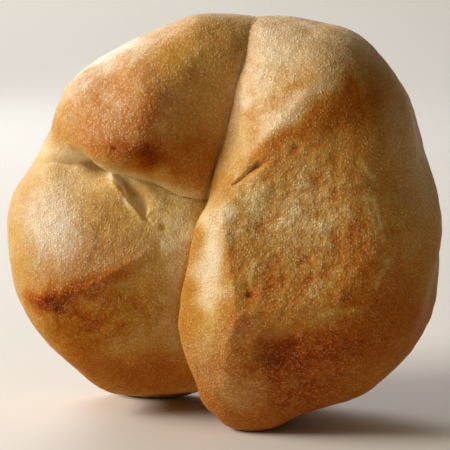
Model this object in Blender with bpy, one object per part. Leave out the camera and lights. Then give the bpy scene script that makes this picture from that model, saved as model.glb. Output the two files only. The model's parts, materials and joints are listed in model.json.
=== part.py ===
"""Olive oil brioche: a soft roll of three fused lobes of dough, standing on its rim.

Run with: blender --background --python part.py (metres, +Z up).

The roll stands on two small flats of its rim, the way it is set on edge to show its baked top.
X runs along its width, Y through its thickness and Z up. The baked top faces -Y, the flat base
faces +Y, and the origin is under the middle of the roll, on the surface that it stands on.

The dough is worked out in millimetres in a frame of the roll's own, measured from the middle of
its girth: across (to the right), up, and out (towards the baked top). Each lobe is a sphere of
points pushed out to the lobe's surface. That surface is where the lobe's form, a function of a
point that is negative inside, crosses zero. Soft maxima join the limits of a form, so that edges
come out round, as dough is.
"""

import math
from collections import namedtuple

import bmesh
import bpy
import numpy as np

# Driving dimensions, in millimetres.
BASE_DEPTH = 24.0     # from the girth back to the flat base
BACK_REACH = 38.0     # how far back a lobe would bulge without the base
FOOT_LEVEL = -48.8    # height of the flats that the roll stands on
FLAT_ALLOWANCE = 0.6  # dough left beyond both flats, then cut away level
CUTTER_SIZE = 160.0

# How each lobe is made round, in millimetres.
EDGE_SOFTNESS = 1.8   # how wide the round edges are, from the base's edge to the flats
RIM_SOFTNESS = 2.2
LIP_SOFTNESS = 1.3
VALLEY_SOFTNESS = 1.7
FOLD_SOFTNESS = 1.6
HEEL_SOFTNESS = 1.5
FLAT_SOFTNESS = 0.25
BACK_FULLNESS = 2.3
TOP_SHARE = 0.92      # turns a height over the gently sloping tops into a distance
SWELL_LENGTH = 22.0   # spacing of the soft swells along the sides
SIDE_SWELL = 0.3
WANDER_LENGTH = 26.0  # spacing over which the ridges wander
WANDER = 0.5
TEAR_FADE = 0.05      # how quickly a tear opens at its ends, as a share of its length
FAR_RIM_WIDTH = 1.5
NEAR_RIM_WIDTH = 0.75
SLIT_WIDTH = 0.27
SLIT_WIDENING = 2.6   # how much wider the slit gets along the tear
SLIT_START = 0.2
INNER_REACH = 14.0    # how far the left lobes reach into the right one
UPPER_REACH = 21.0    # how far the lower lobe reaches into the upper one

# The finished mesh.
SUBDIVISIONS = 6
KEPT_FACES = 9500
SEARCH_STEPS = 26
SEARCH_REACH = 80.0
MILLIMETRE = 0.001

Lobe = namedtuple("Lobe", "middle outline front fullness seed")
Face = namedtuple("Face", "at height slope bend soft")
Ridge = namedtuple("Ridge", "start end height width")
Spot = namedtuple("Spot", "at size rise turn power")
Tear = namedtuple("Tear", "start end depth reach edge rim slit")

# Each outline gives the girth's radius in millimetres by angle in degrees, counted from across.
RIGHT = Lobe(
    middle=(18, 0, 2),
    outline=[(-125, 36.0), (-108, 40.5), (-96, 44.0), (-92, 45.3), (-88, 47.9), (-84, 49.2),
             (-75, 50.0), (-60, 50.0), (-45, 51.9), (-30, 53.9), (-15, 53.1), (0, 51.8),
             (15, 51.1), (30, 52.2), (45, 54.8), (60, 54.7), (75, 50.3), (82, 49.2),
             (90, 48.2), (110, 44.0)],
    front=40.0, fullness=2.8, seed=5)
UPPER = Lobe(
    middle=(-17, 30, 2),
    outline=[(60, 45.0), (78, 48.9), (85, 50.4), (95, 51.5), (105, 49.6), (120, 48.6),
             (135, 50.3), (145, 47.6), (150, 46.7), (158, 47.5), (165, 48.6), (180, 49.5),
             (200, 48.0)],
    front=38.0, fullness=2.6, seed=15)
LOWER = Lobe(
    middle=(-21, -14, 0),
    outline=[(130, 41.0), (150, 45.3), (158, 47.5), (165, 49.3), (180, 53.0), (195, 52.9),
             (210, 52.6), (225, 51.2), (238, 52.3), (247, 48.4), (255, 45.5), (265, 43.4),
             (280, 39.0), (300, 36.0)],
    front=36.0, fullness=2.5, seed=25)

# The seam that parts the right lobe from the other two, as (up, across).
SEAM = [(-60, -5.0), (-46, -5.2), (-37, -6.4), (-33.4, -7.6), (-30, -8.8), (-26, -9.6),
        (-21, -10.0), (-14, -9.0), (-6, -6.8), (1.5, -4.6), (10, -2.7), (16, -1.2), (22, 1.1),
        (29, 3.0), (36, 4.2), (43, 6.5), (48, 8.5), (60, 10.0)]
SEAM_TURN = 9.0        # height where the seam turns from a lip into a valley
LIP_OVERHANG = 0.35    # how far the right lobe's lip leans over the lower lobe
LIP_START = -37.0
LIP_HEIGHT = 24.0
VALLEY_LEAN = 0.7      # how far its upper wall leans back
VALLEY_HEIGHT = 19.0
CREASE_OFFSET = 1.2    # where the upper seam's crease runs, beside that line
GROOVE_DEPTH = 2.0
GROOVE_WIDTH = 0.9
# The upper lobe's lip over the lower one, as (across, up).
LIP = [(-60, 18.0), (-45, 18.0), (-37, 17.7), (-33, 17.9), (-30, 17.9), (-27, 16.2),
       (-23, 14.3), (-15, 12.2), (-8, 9.2), (-4, 8.4), (8, 8.0), (20, 8.0)]
FOLD_LEAN = 0.30       # how far the underside of that lip leans out, more so at its left end
FOLD_HEIGHT = 21.0
FOLD_END = -31.5
TUCK_START = -29.0     # where that lip is tucked under, over the pocket below it
TUCK_END = -22.0
TUCK_LEAN = 0.45

# Planes that the baked tops were flattened to as the lobes rose against each other.
RIGHT_FACES = [
    Face((20, 5), 33.3, (0.0, 0.0), (0.004, 0.003), 0.6),        # broad plateau
    Face((6.7, 21.5), 32.3, (0.34, -0.49), (0.003, 0.003), 0.6),  # up by the seam
    Face((5.5, -3), 34.1, (0.72, 0.05), (0.0, 0.0), 0.5),        # down to the lip
    Face((5.0, -18), 32.3, (0.55, 0.38), (0.0, 0.0), 0.6),       # lip, lower end
    Face((18, -15), 33.6, (-0.05, 0.37), (0.002, 0.011), 1.1),   # under the plateau
    Face((33, 34), 28.5, (-0.45, -0.50), (0.004, 0.004), 1.5),   # upper shoulder
    Face((41, 5), 30.0, (-0.9, -0.02), (0.03, 0.0), 1.5),        # side
]
RIGHT_RIDGES = [
    Ridge((4.4, 6), (4.2, -14), 0.5, 1.5),
    Ridge((4.6, -18), (3.4, -33), 0.6, 1.8),
    Ridge((6.5, -16.5), (28, -13.5), 0.6, 2.4),
    Ridge((7.5, 20.2), (24.5, 36.5), 1.2, 2.3),
]
RIGHT_SPOTS = [
    Spot((21, 4), (12, 13), -1.0, -15, 3),
    Spot((15.5, -25.5), (4.8, 4.8), -1.5, 0, 4),
    Spot((31, 25), (7, 5), -1.0, 35, 3),
]
RIGHT_TEARS = [
    Tear((4.0, 11.2), (12.3, 18.1), 1.5, 4.5, 0.6, 0.0, 1.8),
    Tear((-4.0, 11.0), (5.4, 11.9), 2.3, 5.0, 0.35, 0.0, 0.0),
]

UPPER_FACES = [
    Face((-20, 31), 29.4, (0.03, 0.0), (0.024, 0.020), 0.8),        # dome
    Face((-11.5, 32), 29.0, (-0.56, 0.08), (-0.008, 0.0), 0.8),    # to the seam
]
UPPER_SPOTS = [
    Spot((-1, 30), (6, 12), -1.4, 10, 3),
    Spot((-24, 28.5), (14, 13.5), 1.8, 0, 8),
]

LOWER_FACES = [
    Face((-33, -3), 24.8, (0.07, -0.14), (0.007, 0.010), 0.5),   # dome
    Face((-28, -11.6), 24.6, (-0.20, 0.50), (0.0, 0.006), 0.5),  # under the fold
    Face((-22, 0), 24.0, (-0.24, 0.03), (0.0, 0.0), 1.8),        # to the seam
]
LOWER_RIDGES = [
    Ridge((-41, -15.5), (-18, -5.5), 0.7, 1.5),
    Ridge((-21.5, 13.7), (-3, 8.3), -1.8, 0.9),
]
LOWER_SPOTS = [
    Spot((-30.6, 15.4), (6.8, 4.4), -2.4, -10, 4),
    Spot((-27.0, 15.9), (3.6, 2.6), -3.8, -35, 3),
]
LOWER_TEARS = [Tear((-23.6, 14.8), (-16.4, 4.0), 3.4, 2.6, 0.25, 0.5, 0.0)]
# The lower lobe's heel, out of sight at the back, that the roll also stands on.
HEEL_MIDDLE = (-20, -30, -20)
HEEL_RADII = (25, 19.6, 13)


def soft_max(values, softness):
    """The largest of several arrays, with the change from one to the next rounded off."""
    stack = np.stack(values)
    top = stack.max(0)
    return top + softness * np.log(np.exp((stack - top) / softness).sum(0))


def soft_min(values, softness):
    return -soft_max([-value for value in values], softness)


def step(x, width):
    """Rises smoothly from 0 to 1 as x passes 0."""
    return 1 / (1 + np.exp(-np.clip(x / width, -40, 40)))


def curve_through(points, x):
    """A smooth curve through (x, y) points, read at x."""
    xs, ys = np.array(points, float).T
    slopes = np.gradient(ys, xs)
    i = np.clip(np.searchsorted(xs, x) - 1, 0, len(xs) - 2)
    run = xs[i + 1] - xs[i]
    t = np.clip((x - xs[i]) / run, -0.5, 1.5)
    start = (2 * t**3 - 3 * t**2 + 1) * ys[i] + (t**3 - 2 * t**2 + t) * run * slopes[i]
    end = (3 * t**2 - 2 * t**3) * ys[i + 1] + (t**3 - t**2) * run * slopes[i + 1]
    return start + end


def swell(points, length, seed, count=9):
    """A soft irregular swell of about unit height, a sum of plane waves."""
    rng = np.random.default_rng(seed)
    total = np.zeros(len(points))
    for _ in range(count):
        direction = rng.normal(size=3)
        direction /= np.linalg.norm(direction)
        pace = 2 * math.pi / (length * rng.uniform(0.75, 1.4))
        total += np.sin(points @ direction * pace + rng.uniform(0, 2 * math.pi))
    return total / math.sqrt(count / 2)


def along(start, end, across, up):
    """How far points are along a line, as a share of it, how far beside it, and its length."""
    start, end = np.array(start, float), np.array(end, float)
    length = np.hypot(*(end - start))
    run = (end - start) / length
    share = ((across - start[0]) * run[0] + (up - start[1]) * run[1]) / length
    beside = (up - start[1]) * run[0] - (across - start[0]) * run[1]
    return share, beside, length


def face_height(face, across, up):
    da, du = across - face.at[0], up - face.at[1]
    height = face.height + face.slope[0] * da + face.slope[1] * du
    return height - face.bend[0] * da**2 / 2 - face.bend[1] * du**2 / 2


def ridge_height(ridge, across, up):
    share, beside, length = along(ridge.start, ridge.end, across, up)
    past_the_ends = (np.abs(share - 0.5) - 0.5).clip(0) * length
    return ridge.height * np.exp(-np.hypot(beside, past_the_ends) / ridge.width)


def within(spot, across, up, power):
    """1 in the middle of a turned oval, falling to 0 outside it."""
    turn = math.radians(spot.turn)
    da, du = across - spot.at[0], up - spot.at[1]
    x = (da * math.cos(turn) + du * math.sin(turn)) / spot.size[0]
    y = (du * math.cos(turn) - da * math.sin(turn)) / spot.size[1]
    return np.exp(-(x**2 + y**2) ** (power / 2))


def tear_depth(tear, across, up):
    """A tear in the crust: a sharp drop on its left, easing back, with a slit or a raised rim."""
    share, beside, _ = along(tear.start, tear.end, across, up)
    inside = step(share + TEAR_FADE, TEAR_FADE) * step(1 - share, TEAR_FADE)
    reach = tear.reach * np.sqrt((4 * share * (1 - share)).clip(0.01, 1))
    drop = tear.depth * step(beside, tear.edge) * np.exp(-(beside.clip(0) / reach) ** 2)
    far_rim = np.exp(-((beside - 2 * tear.reach) / FAR_RIM_WIDTH) ** 2)
    near_rim = np.exp(-((beside + NEAR_RIM_WIDTH) / NEAR_RIM_WIDTH) ** 2)
    half_width = SLIT_WIDTH * (1 + SLIT_WIDENING * share.clip(0, 0.8))
    slit = tear.slit * np.exp(-((beside - SLIT_WIDTH) / half_width) ** 4)
    slit = slit * step(share - SLIT_START, TEAR_FADE)
    return (drop + slit - tear.rim * (far_rim + near_rim)) * inside


def baked_top(across, up, faces, ridges=(), spots=(), tears=()):
    """How far out the baked top reaches over each point of the girth."""
    height = face_height(faces[0], across, up)
    for face in faces[1:]:
        height = soft_min([height, face_height(face, across, up)], face.soft)
    height = height + sum(ridge_height(ridge, across, up) for ridge in ridges)
    for spot in spots:
        height = height + spot.rise * within(spot, across, up, spot.power)
    return height - sum(tear_depth(tear, across, up) for tear in tears)


def top_limit(points, lobe, **relief):
    """The baked top as a limit, with its ridges wandering a little off their straight lines."""
    across = points[:, 0] + WANDER * swell(points, WANDER_LENGTH, lobe.seed + 1)
    up = points[:, 1] + WANDER * swell(points, WANDER_LENGTH, lobe.seed + 2)
    return TOP_SHARE * (points[:, 2] - baked_top(across, up, **relief))


def seam_groove(across, up):
    """How much a top is pinched in beside the right lobe."""
    from_crease = across - curve_through(SEAM, up) - CREASE_OFFSET
    return GROOVE_DEPTH * np.exp(-np.abs(from_crease) / GROOVE_WIDTH)


def bulge(points, lobe):
    """The free bulge of a lobe: its outline at the girth, drawn in towards front and back."""
    across, up, out = points.T
    first, last = lobe.outline[0][0], lobe.outline[-1][0]
    middle = (first + last) / 2
    angle = (np.degrees(np.arctan2(up, across)) - middle + 180) % 360 - 180 + middle
    reach = np.hypot(across, up) / curve_through(lobe.outline, np.clip(angle, first, last))
    depth = np.where(out > 0, out / lobe.front, -out / BACK_REACH)
    power = np.where(out > 0, lobe.fullness, BACK_FULLNESS)
    rounded = lobe.front * ((reach**power + depth**power) ** (1 / power) - 1)
    return rounded + SIDE_SWELL * swell(points, SWELL_LENGTH, lobe.seed)


def finish_form(limits, points):
    """Round a form's limits into each other, and level it near the base and the foot."""
    base = -points[:, 2] - BASE_DEPTH - FLAT_ALLOWANCE
    whole = soft_max(limits + [base], EDGE_SOFTNESS)
    return soft_max([whole, FOOT_LEVEL - FLAT_ALLOWANCE - points[:, 1]], FLAT_SOFTNESS)


def right_form(points):
    """The large right lobe. It laps over the lower lobe and meets the upper one in a valley."""
    across, up, out = points.T
    upper = step(up - SEAM_TURN, 3)
    overhang = LIP_OVERHANG * (1 - upper) * step(up - LIP_START, 2.5)
    lean_back = VALLEY_LEAN * upper
    shifted = overhang * (LIP_HEIGHT - out) - lean_back * (VALLEY_HEIGHT - out)
    wall = (curve_through(SEAM, up) - across + shifted) / np.hypot(1, overhang + lean_back)
    top = top_limit(points, RIGHT, faces=RIGHT_FACES, ridges=RIGHT_RIDGES,
                    spots=RIGHT_SPOTS, tears=RIGHT_TEARS)
    edge = LIP_SOFTNESS + (VALLEY_SOFTNESS - LIP_SOFTNESS) * upper
    return finish_form([soft_max([top, wall], edge), bulge(points, RIGHT)], points)


def upper_form(points):
    """The upper left lobe, a dome that folds down over the lower lobe."""
    across, up, out = points.T
    tucked = step(across - TUCK_START, 1.5) * step(TUCK_END - across, 1.5) * step(out - 12, 2)
    shallow = step(FOLD_END - across, 1.2)
    lean = FOLD_LEAN + TUCK_LEAN * (shallow - tucked)
    underside = (curve_through(LIP, across) - up - lean * (FOLD_HEIGHT - out)) / np.hypot(1, lean)
    top = top_limit(points, UPPER, faces=UPPER_FACES, spots=UPPER_SPOTS) + seam_groove(across, up)
    lip = soft_max([top, underside], FOLD_SOFTNESS * (1 + 0.8 * shallow))
    return finish_form([lip, bulge(points, UPPER), across - INNER_REACH], points)


def lower_form(points):
    """The lower left lobe, torn open beside its dome, with a heel at the back."""
    across, up, out = points.T
    from_heel = (points - HEEL_MIDDLE) / HEEL_RADII
    heel = HEEL_RADII[2] * (np.linalg.norm(from_heel, axis=1) - 1)
    bulk = soft_min([bulge(points, LOWER), heel], HEEL_SOFTNESS)
    top = top_limit(points, LOWER, faces=LOWER_FACES, ridges=LOWER_RIDGES,
                    spots=LOWER_SPOTS, tears=LOWER_TEARS)
    upper_end = up - UPPER_REACH - 5 * step(across + 30, 2)
    return finish_form([soft_max([top, bulk], RIM_SOFTNESS), across - INNER_REACH, upper_end],
                       points)


def remove_everything():
    for thing in list(bpy.data.objects):
        bpy.data.objects.remove(thing)


def new_collection(name):
    collection = bpy.data.collections.new(name)
    bpy.context.scene.collection.children.link(collection)
    return collection


def push_out(form, middle, directions):
    """The points where lines from a lobe's middle leave its form, found by halving."""
    inside = np.zeros(len(directions))
    outside = np.full(len(directions), SEARCH_REACH)
    for _ in range(SEARCH_STEPS):
        halfway = (inside + outside) / 2
        still_in = form(middle + directions * halfway[:, None]) < 0
        inside = np.where(still_in, halfway, inside)
        outside = np.where(still_in, outside, halfway)
    return middle + directions * inside[:, None]


def make_lobe(name, lobe, form, collection):
    """A sphere of points, pushed out to a lobe's surface."""
    ball = bmesh.new()
    bmesh.ops.create_icosphere(ball, subdivisions=SUBDIVISIONS, radius=1)
    mesh = bpy.data.meshes.new(name)
    ball.to_mesh(mesh)
    ball.free()
    sphere = np.empty(len(mesh.vertices) * 3, np.float32)
    mesh.vertices.foreach_get("co", sphere)
    x, y, z = sphere.reshape(-1, 3).T.astype(float)
    across, up, out = push_out(form, np.array(lobe.middle, float), np.stack([x, z, -y], 1)).T
    placed = np.stack([across, -out, up], 1) * MILLIMETRE
    mesh.vertices.foreach_set("co", placed.astype(np.float32).ravel())
    mesh.update()
    thing = bpy.data.objects.new(name, mesh)
    collection.objects.link(thing)
    return thing


def join_lobes(first, others):
    """Join the lobes into one solid with a Boolean union, and drop the loose ones."""
    union = first.modifiers.new("join lobes", "BOOLEAN")
    union.operation = "UNION"
    union.operand_type = "COLLECTION"
    union.collection = others
    union.solver = "EXACT"
    depsgraph = bpy.context.evaluated_depsgraph_get()
    mesh = bpy.data.meshes.new_from_object(first.evaluated_get(depsgraph))
    for lobe in list(others.objects) + [first]:
        bpy.data.objects.remove(lobe)
    bpy.data.collections.remove(others)
    return mesh


def make_cutter(name, middle, collection):
    """A block that cuts a flat."""
    bpy.ops.mesh.primitive_cube_add(size=CUTTER_SIZE * MILLIMETRE)
    block = bpy.context.object
    block.name = name
    block.location = [value * MILLIMETRE for value in middle]
    block.hide_render = True
    block.display_type = "WIRE"
    for old in list(block.users_collection):
        old.objects.unlink(block)
    collection.objects.link(block)
    return block


def cut_flat(thing, cutter):
    cut = thing.modifiers.new("cut " + cutter.name, "BOOLEAN")
    cut.operation = "DIFFERENCE"
    cut.solver = "EXACT"
    cut.object = cutter


def crust_material():
    material = bpy.data.materials.new("baked_crust")
    material.use_nodes = True
    shader = material.node_tree.nodes["Principled BSDF"]
    shader.inputs["Base Color"].default_value = (0.53, 0.24, 0.05, 1)
    shader.inputs["Roughness"].default_value = 0.5
    shader.inputs["Metallic"].default_value = 0.0
    return material


def centre_over_origin(things, whole):
    """Move everything so that the roll's box stands centred over the origin."""
    depsgraph = bpy.context.evaluated_depsgraph_get()
    mesh = whole.evaluated_get(depsgraph).data
    points = np.array([vertex.co for vertex in mesh.vertices])
    low, high = points.min(0), points.max(0)
    shift = [-(low[0] + high[0]) / 2, -(low[1] + high[1]) / 2, -low[2]]
    for thing in things:
        thing.location = [old + move for old, move in zip(thing.location, shift)]


def main():
    remove_everything()
    brioche = new_collection("olive_oil_brioche")
    cutters = new_collection("cutters")
    loose = new_collection("loose_lobes")
    right = make_lobe("right lobe", RIGHT, right_form, brioche)
    make_lobe("upper lobe", UPPER, upper_form, loose)
    make_lobe("lower lobe", LOWER, lower_form, loose)
    roll = bpy.data.objects.new("roll", join_lobes(right, loose))
    roll.data.name = "roll"
    brioche.objects.link(roll)

    thin = roll.modifiers.new("fewer faces", "DECIMATE")
    thin.ratio = KEPT_FACES / len(roll.data.polygons)
    half = CUTTER_SIZE / 2
    foot_block = make_cutter("foot block", (0, 0, FOOT_LEVEL - half), cutters)
    base_block = make_cutter("base block", (0, BASE_DEPTH + half, 0), cutters)
    cut_flat(roll, foot_block)
    cut_flat(roll, base_block)

    roll.data.materials.clear()
    roll.data.materials.append(crust_material())
    roll.data.shade_smooth()
    bpy.context.view_layer.update()
    centre_over_origin([roll, foot_block, base_block], roll)


main()
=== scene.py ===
# %% [markdown]
# # Olive oil brioche
#
# A soft roll of bread. Three balls of dough were set side by side in a round, and rose and baked
# into one. The roll stands on its rim, so that its browned top faces us. This lesson grows the
# dough from formulas at a fine grain, browns its crust where an oven would, and lights it softly.

# %% Setup
import json
import math
from collections import namedtuple

import bmesh
import bpy
import numpy as np
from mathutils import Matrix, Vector, noise

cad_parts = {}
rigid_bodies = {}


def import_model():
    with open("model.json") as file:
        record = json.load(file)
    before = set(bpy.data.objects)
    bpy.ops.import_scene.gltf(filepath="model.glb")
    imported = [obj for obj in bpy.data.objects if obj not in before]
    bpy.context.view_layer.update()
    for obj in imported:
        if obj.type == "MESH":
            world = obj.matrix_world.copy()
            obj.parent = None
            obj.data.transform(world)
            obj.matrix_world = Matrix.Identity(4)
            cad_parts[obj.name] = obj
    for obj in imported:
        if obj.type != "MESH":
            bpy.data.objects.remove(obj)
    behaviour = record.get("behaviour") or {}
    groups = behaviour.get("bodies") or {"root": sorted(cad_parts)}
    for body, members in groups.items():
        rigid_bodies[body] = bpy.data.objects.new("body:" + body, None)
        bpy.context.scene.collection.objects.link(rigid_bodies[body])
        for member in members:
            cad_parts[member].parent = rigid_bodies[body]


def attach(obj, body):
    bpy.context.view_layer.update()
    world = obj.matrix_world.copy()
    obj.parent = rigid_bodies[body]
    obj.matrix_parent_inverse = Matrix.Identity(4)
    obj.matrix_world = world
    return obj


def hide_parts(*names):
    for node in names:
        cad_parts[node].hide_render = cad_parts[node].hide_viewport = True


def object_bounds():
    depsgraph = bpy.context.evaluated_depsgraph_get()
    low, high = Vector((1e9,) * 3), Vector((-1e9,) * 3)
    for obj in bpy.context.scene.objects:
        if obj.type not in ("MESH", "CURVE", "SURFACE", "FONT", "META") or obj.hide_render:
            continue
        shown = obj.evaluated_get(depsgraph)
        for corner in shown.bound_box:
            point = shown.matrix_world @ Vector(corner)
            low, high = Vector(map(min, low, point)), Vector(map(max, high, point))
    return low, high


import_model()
cad_low, cad_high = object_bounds()
print("the packed roll's box, in metres:", [round(value, 4) for value in (*cad_low, *cad_high)])

# %% [markdown]
# ## Working in the roll's own frame
#
# Dough is easiest to describe from the middle of the roll's girth: how far across, how far up, and
# how far out towards the baked top. All of it is in millimetres, and one function at the end turns
# it into Blender's metres, with the top facing -Y.

# %% Driving dimensions, in millimetres
MILLIMETRE = 0.001
BASE_DEPTH = 24.0  # from the girth back to the flat base
FOOT_LEVEL = -48.8  # height of the flats that the roll stands on
print("the base is", BASE_DEPTH, "mm behind the girth, and the foot", -FOOT_LEVEL, "mm below it")

# %% [markdown]
# ## Soft maths for soft dough
#
# A hard maximum of two surfaces leaves a knife edge. A soft maximum rounds it off, like dough that
# has pressed against dough. Metaballs blend as softly, but they can't make a lip or a tear. The
# other helpers are a smooth step, a curve through a few points, and a swell made of a few plane
# waves, which keeps big surfaces from looking machined.

# %% Soft maximum, smooth step, curve and swell
LONGEST_STEP = 40.0  # in widths; past it a step is flat to the last digit
WAVE_SPREAD = (0.75, 1.4)  # how much the waves of a swell differ in length


def soft_max(values, softness):
    """The largest of several arrays, with the change from one to the next rounded off."""
    stack = np.stack(values)
    top = stack.max(0)
    return top + softness * np.log(np.exp((stack - top) / softness).sum(0))


def soft_min(values, softness):
    return -soft_max([-value for value in values], softness)


def step(x, width):
    """Rises smoothly from 0 to 1 as x passes 0."""
    return 1 / (1 + np.exp(-np.clip(x / width, -LONGEST_STEP, LONGEST_STEP)))


def curve_through(points, x):
    """A smooth curve through (x, y) points, read at x."""
    xs, ys = np.array(points, float).T
    slopes = np.gradient(ys, xs)
    i = np.clip(np.searchsorted(xs, x) - 1, 0, len(xs) - 2)
    run = xs[i + 1] - xs[i]
    t = np.clip((x - xs[i]) / run, -0.5, 1.5)
    start = (2 * t**3 - 3 * t**2 + 1) * ys[i] + (t**3 - 2 * t**2 + t) * run * slopes[i]
    end = (3 * t**2 - 2 * t**3) * ys[i + 1] + (t**3 - t**2) * run * slopes[i + 1]
    return start + end


def swell(points, length, seed, count=9):
    """A soft irregular swell of about unit height, a sum of plane waves."""
    rng = np.random.default_rng(seed)
    total = np.zeros(len(points))
    for _ in range(count):
        direction = rng.normal(size=3)
        direction /= np.linalg.norm(direction)
        pace = 2 * math.pi / (length * rng.uniform(*WAVE_SPREAD))
        total += np.sin(points @ direction * pace + rng.uniform(0, 2 * math.pi))
    return total / math.sqrt(count / 2)


print("soft maximum of 0 and 0 rounds up to", soft_max([np.zeros(1), np.zeros(1)], 1.0).round(3))

# %% [markdown]
# ## The lobes
#
# Each lobe has an outline, given as the girth's radius at a few angles, and a baked top made of a
# few nearly flat faces. Rising lobes press on each other and on the oven's heat, so their tops are
# flattened into planes with soft ridges between them. Ridges, hollows and tears are added on top.

# %% What a lobe is made of
Lobe = namedtuple("Lobe", "middle outline front fullness seed")
Face = namedtuple("Face", "at height slope bend soft")
Ridge = namedtuple("Ridge", "start end height width")
Spot = namedtuple("Spot", "at size rise turn power")
Tear = namedtuple("Tear", "start end depth reach edge rim slit")

# A face is a plane at a height in front of the girth. It slopes and bends across and up, and is
# rounded into the other faces over its softness. A spot is an oval rise or hollow.
# Outlines give the radius in millimetres by angle in degrees, counted from across.
RIGHT = Lobe(
    middle=(18, 0, 2),
    outline=[(-125, 36.0), (-108, 40.5), (-96, 44.0), (-92, 45.3), (-88, 47.9), (-84, 49.2),
             (-75, 50.0), (-60, 50.0), (-45, 51.9), (-30, 53.9), (-15, 53.1), (0, 51.8),
             (15, 51.1), (30, 52.2), (45, 54.8), (60, 54.7), (75, 50.3), (82, 49.2),
             (90, 48.2), (110, 44.0)],
    front=40.0, fullness=2.8, seed=5)
UPPER = Lobe(
    middle=(-17, 30, 2),
    outline=[(60, 45.0), (78, 48.9), (85, 50.4), (95, 51.5), (105, 49.6), (120, 48.6),
             (135, 50.3), (145, 47.6), (150, 46.7), (158, 47.5), (165, 48.6), (180, 49.5),
             (200, 48.0)],
    front=38.0, fullness=2.6, seed=15)
LOWER = Lobe(
    middle=(-21, -14, 0),
    outline=[(130, 41.0), (150, 45.3), (158, 47.5), (165, 49.3), (180, 53.0), (195, 52.9),
             (210, 52.6), (225, 51.2), (238, 52.3), (247, 48.4), (255, 45.5), (265, 43.4),
             (280, 39.0), (300, 36.0)],
    front=36.0, fullness=2.5, seed=25)
print("widest radius of the right lobe:", max(radius for _, radius in RIGHT.outline), "mm")

# %% Seams and lips
# The seam that parts the right lobe from the other two, as (up, across).
SEAM = [(-60, -5.0), (-46, -5.2), (-37, -6.4), (-33.4, -7.6), (-30, -8.8), (-26, -9.6),
        (-21, -10.0), (-14, -9.0), (-6, -6.8), (1.5, -4.6), (10, -2.7), (16, -1.2), (22, 1.1),
        (29, 3.0), (36, 4.2), (43, 6.5), (48, 8.5), (60, 10.0)]
# The upper lobe's lip over the lower one, as (across, up).
LIP = [(-60, 18.0), (-45, 18.0), (-37, 17.7), (-33, 17.9), (-30, 17.9), (-27, 16.2),
       (-23, 14.3), (-15, 12.2), (-8, 9.2), (-4, 8.4), (8, 8.0), (20, 8.0)]
print("the seam is drawn through", len(SEAM), "points, and the lip through", len(LIP))

# %% Faces, ridges, hollows and tears of the three baked tops
RIGHT_FACES = [
    Face((20, 5), 33.3, (0.0, 0.0), (0.004, 0.003), 0.6),  # broad plateau
    Face((6.7, 21.5), 32.3, (0.34, -0.49), (0.003, 0.003), 0.6),  # up by the seam
    Face((5.5, -3), 34.1, (0.72, 0.05), (0.0, 0.0), 0.5),  # down to the lip
    Face((5.0, -18), 32.3, (0.55, 0.38), (0.0, 0.0), 0.6),  # lip, lower end
    Face((18, -15), 33.6, (-0.05, 0.37), (0.002, 0.011), 1.1),  # under the plateau
    Face((33, 34), 28.5, (-0.45, -0.50), (0.004, 0.004), 1.5),  # upper shoulder
    Face((41, 5), 30.0, (-0.9, -0.02), (0.03, 0.0), 1.5),  # side
]
RIGHT_RIDGES = [
    Ridge((4.4, 6), (4.2, -14), 0.5, 1.5),
    Ridge((4.6, -18), (3.4, -33), 0.6, 1.8),
    Ridge((6.5, -16.5), (28, -13.5), 0.6, 2.4),
    Ridge((7.5, 20.2), (24.5, 36.5), 1.2, 2.3),
]
RIGHT_SPOTS = [
    Spot((21, 4), (12, 13), -1.0, -15, 3),
    Spot((15.5, -25.5), (4.8, 4.8), -1.7, 0, 5),
    Spot((31, 25), (7, 5), -1.0, 35, 3),
]
RIGHT_TEARS = [
    Tear((4.0, 11.2), (12.3, 18.1), 1.5, 4.5, 0.6, 0.0, 1.8),
    Tear((-4.0, 11.0), (5.4, 11.9), 2.3, 5.0, 0.35, 0.0, 0.0),
]

UPPER_FACES = [
    Face((-20, 31), 29.4, (0.03, 0.0), (0.024, 0.020), 0.4),  # dome
    Face((-11.5, 32), 29.0, (-0.56, 0.08), (-0.008, 0.0), 0.4),  # to the seam
]
UPPER_SPOTS = [
    Spot((-1, 30), (6, 12), -1.4, 10, 3),
    Spot((-24, 28.5), (14, 13.5), 1.8, 0, 8),
]

LOWER_FACES = [
    Face((-33, -3), 24.8, (0.07, -0.14), (0.007, 0.010), 0.5),  # dome
    Face((-28, -11.6), 24.6, (-0.20, 0.50), (0.0, 0.006), 0.5),  # under the fold
    Face((-22, 0), 24.0, (-0.24, 0.03), (0.0, 0.0), 1.8),  # to the seam
]
LOWER_RIDGES = [
    Ridge((-41, -15.5), (-18, -5.5), 0.7, 1.5),
    Ridge((-21.5, 13.7), (-3, 8.3), -1.8, 0.9),
]
LOWER_SPOTS = [
    Spot((-30.6, 15.4), (6.8, 4.4), -2.4, -10, 4),
    Spot((-27.0, 15.9), (3.6, 2.6), -3.8, -35, 3),
]
LOWER_TEARS = [Tear((-23.6, 14.8), (-16.4, 4.0), 3.4, 2.6, 0.25, 0.5, 0.0)]
print("faces on the three tops:", len(RIGHT_FACES) + len(UPPER_FACES) + len(LOWER_FACES))

# %% [markdown]
# ## From features to a height
#
# Each feature becomes a small function of a point on the girth. The soft minimum of the faces is
# the top's height, and the features are added to it or taken from it. Sculpting by hand would give
# the same folds once, but a formula can be read again at any grain.


# %% Faces, ridges and ovals as heights
def along(start, end, across, up):
    """How far points are along a line, as a share of it, how far beside it, and its length."""
    start, end = np.array(start, float), np.array(end, float)
    length = np.hypot(*(end - start))
    run = (end - start) / length
    share = ((across - start[0]) * run[0] + (up - start[1]) * run[1]) / length
    beside = (up - start[1]) * run[0] - (across - start[0]) * run[1]
    return share, beside, length


def face_height(face, across, up):
    da, du = across - face.at[0], up - face.at[1]
    height = face.height + face.slope[0] * da + face.slope[1] * du
    return height - face.bend[0] * da**2 / 2 - face.bend[1] * du**2 / 2


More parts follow.
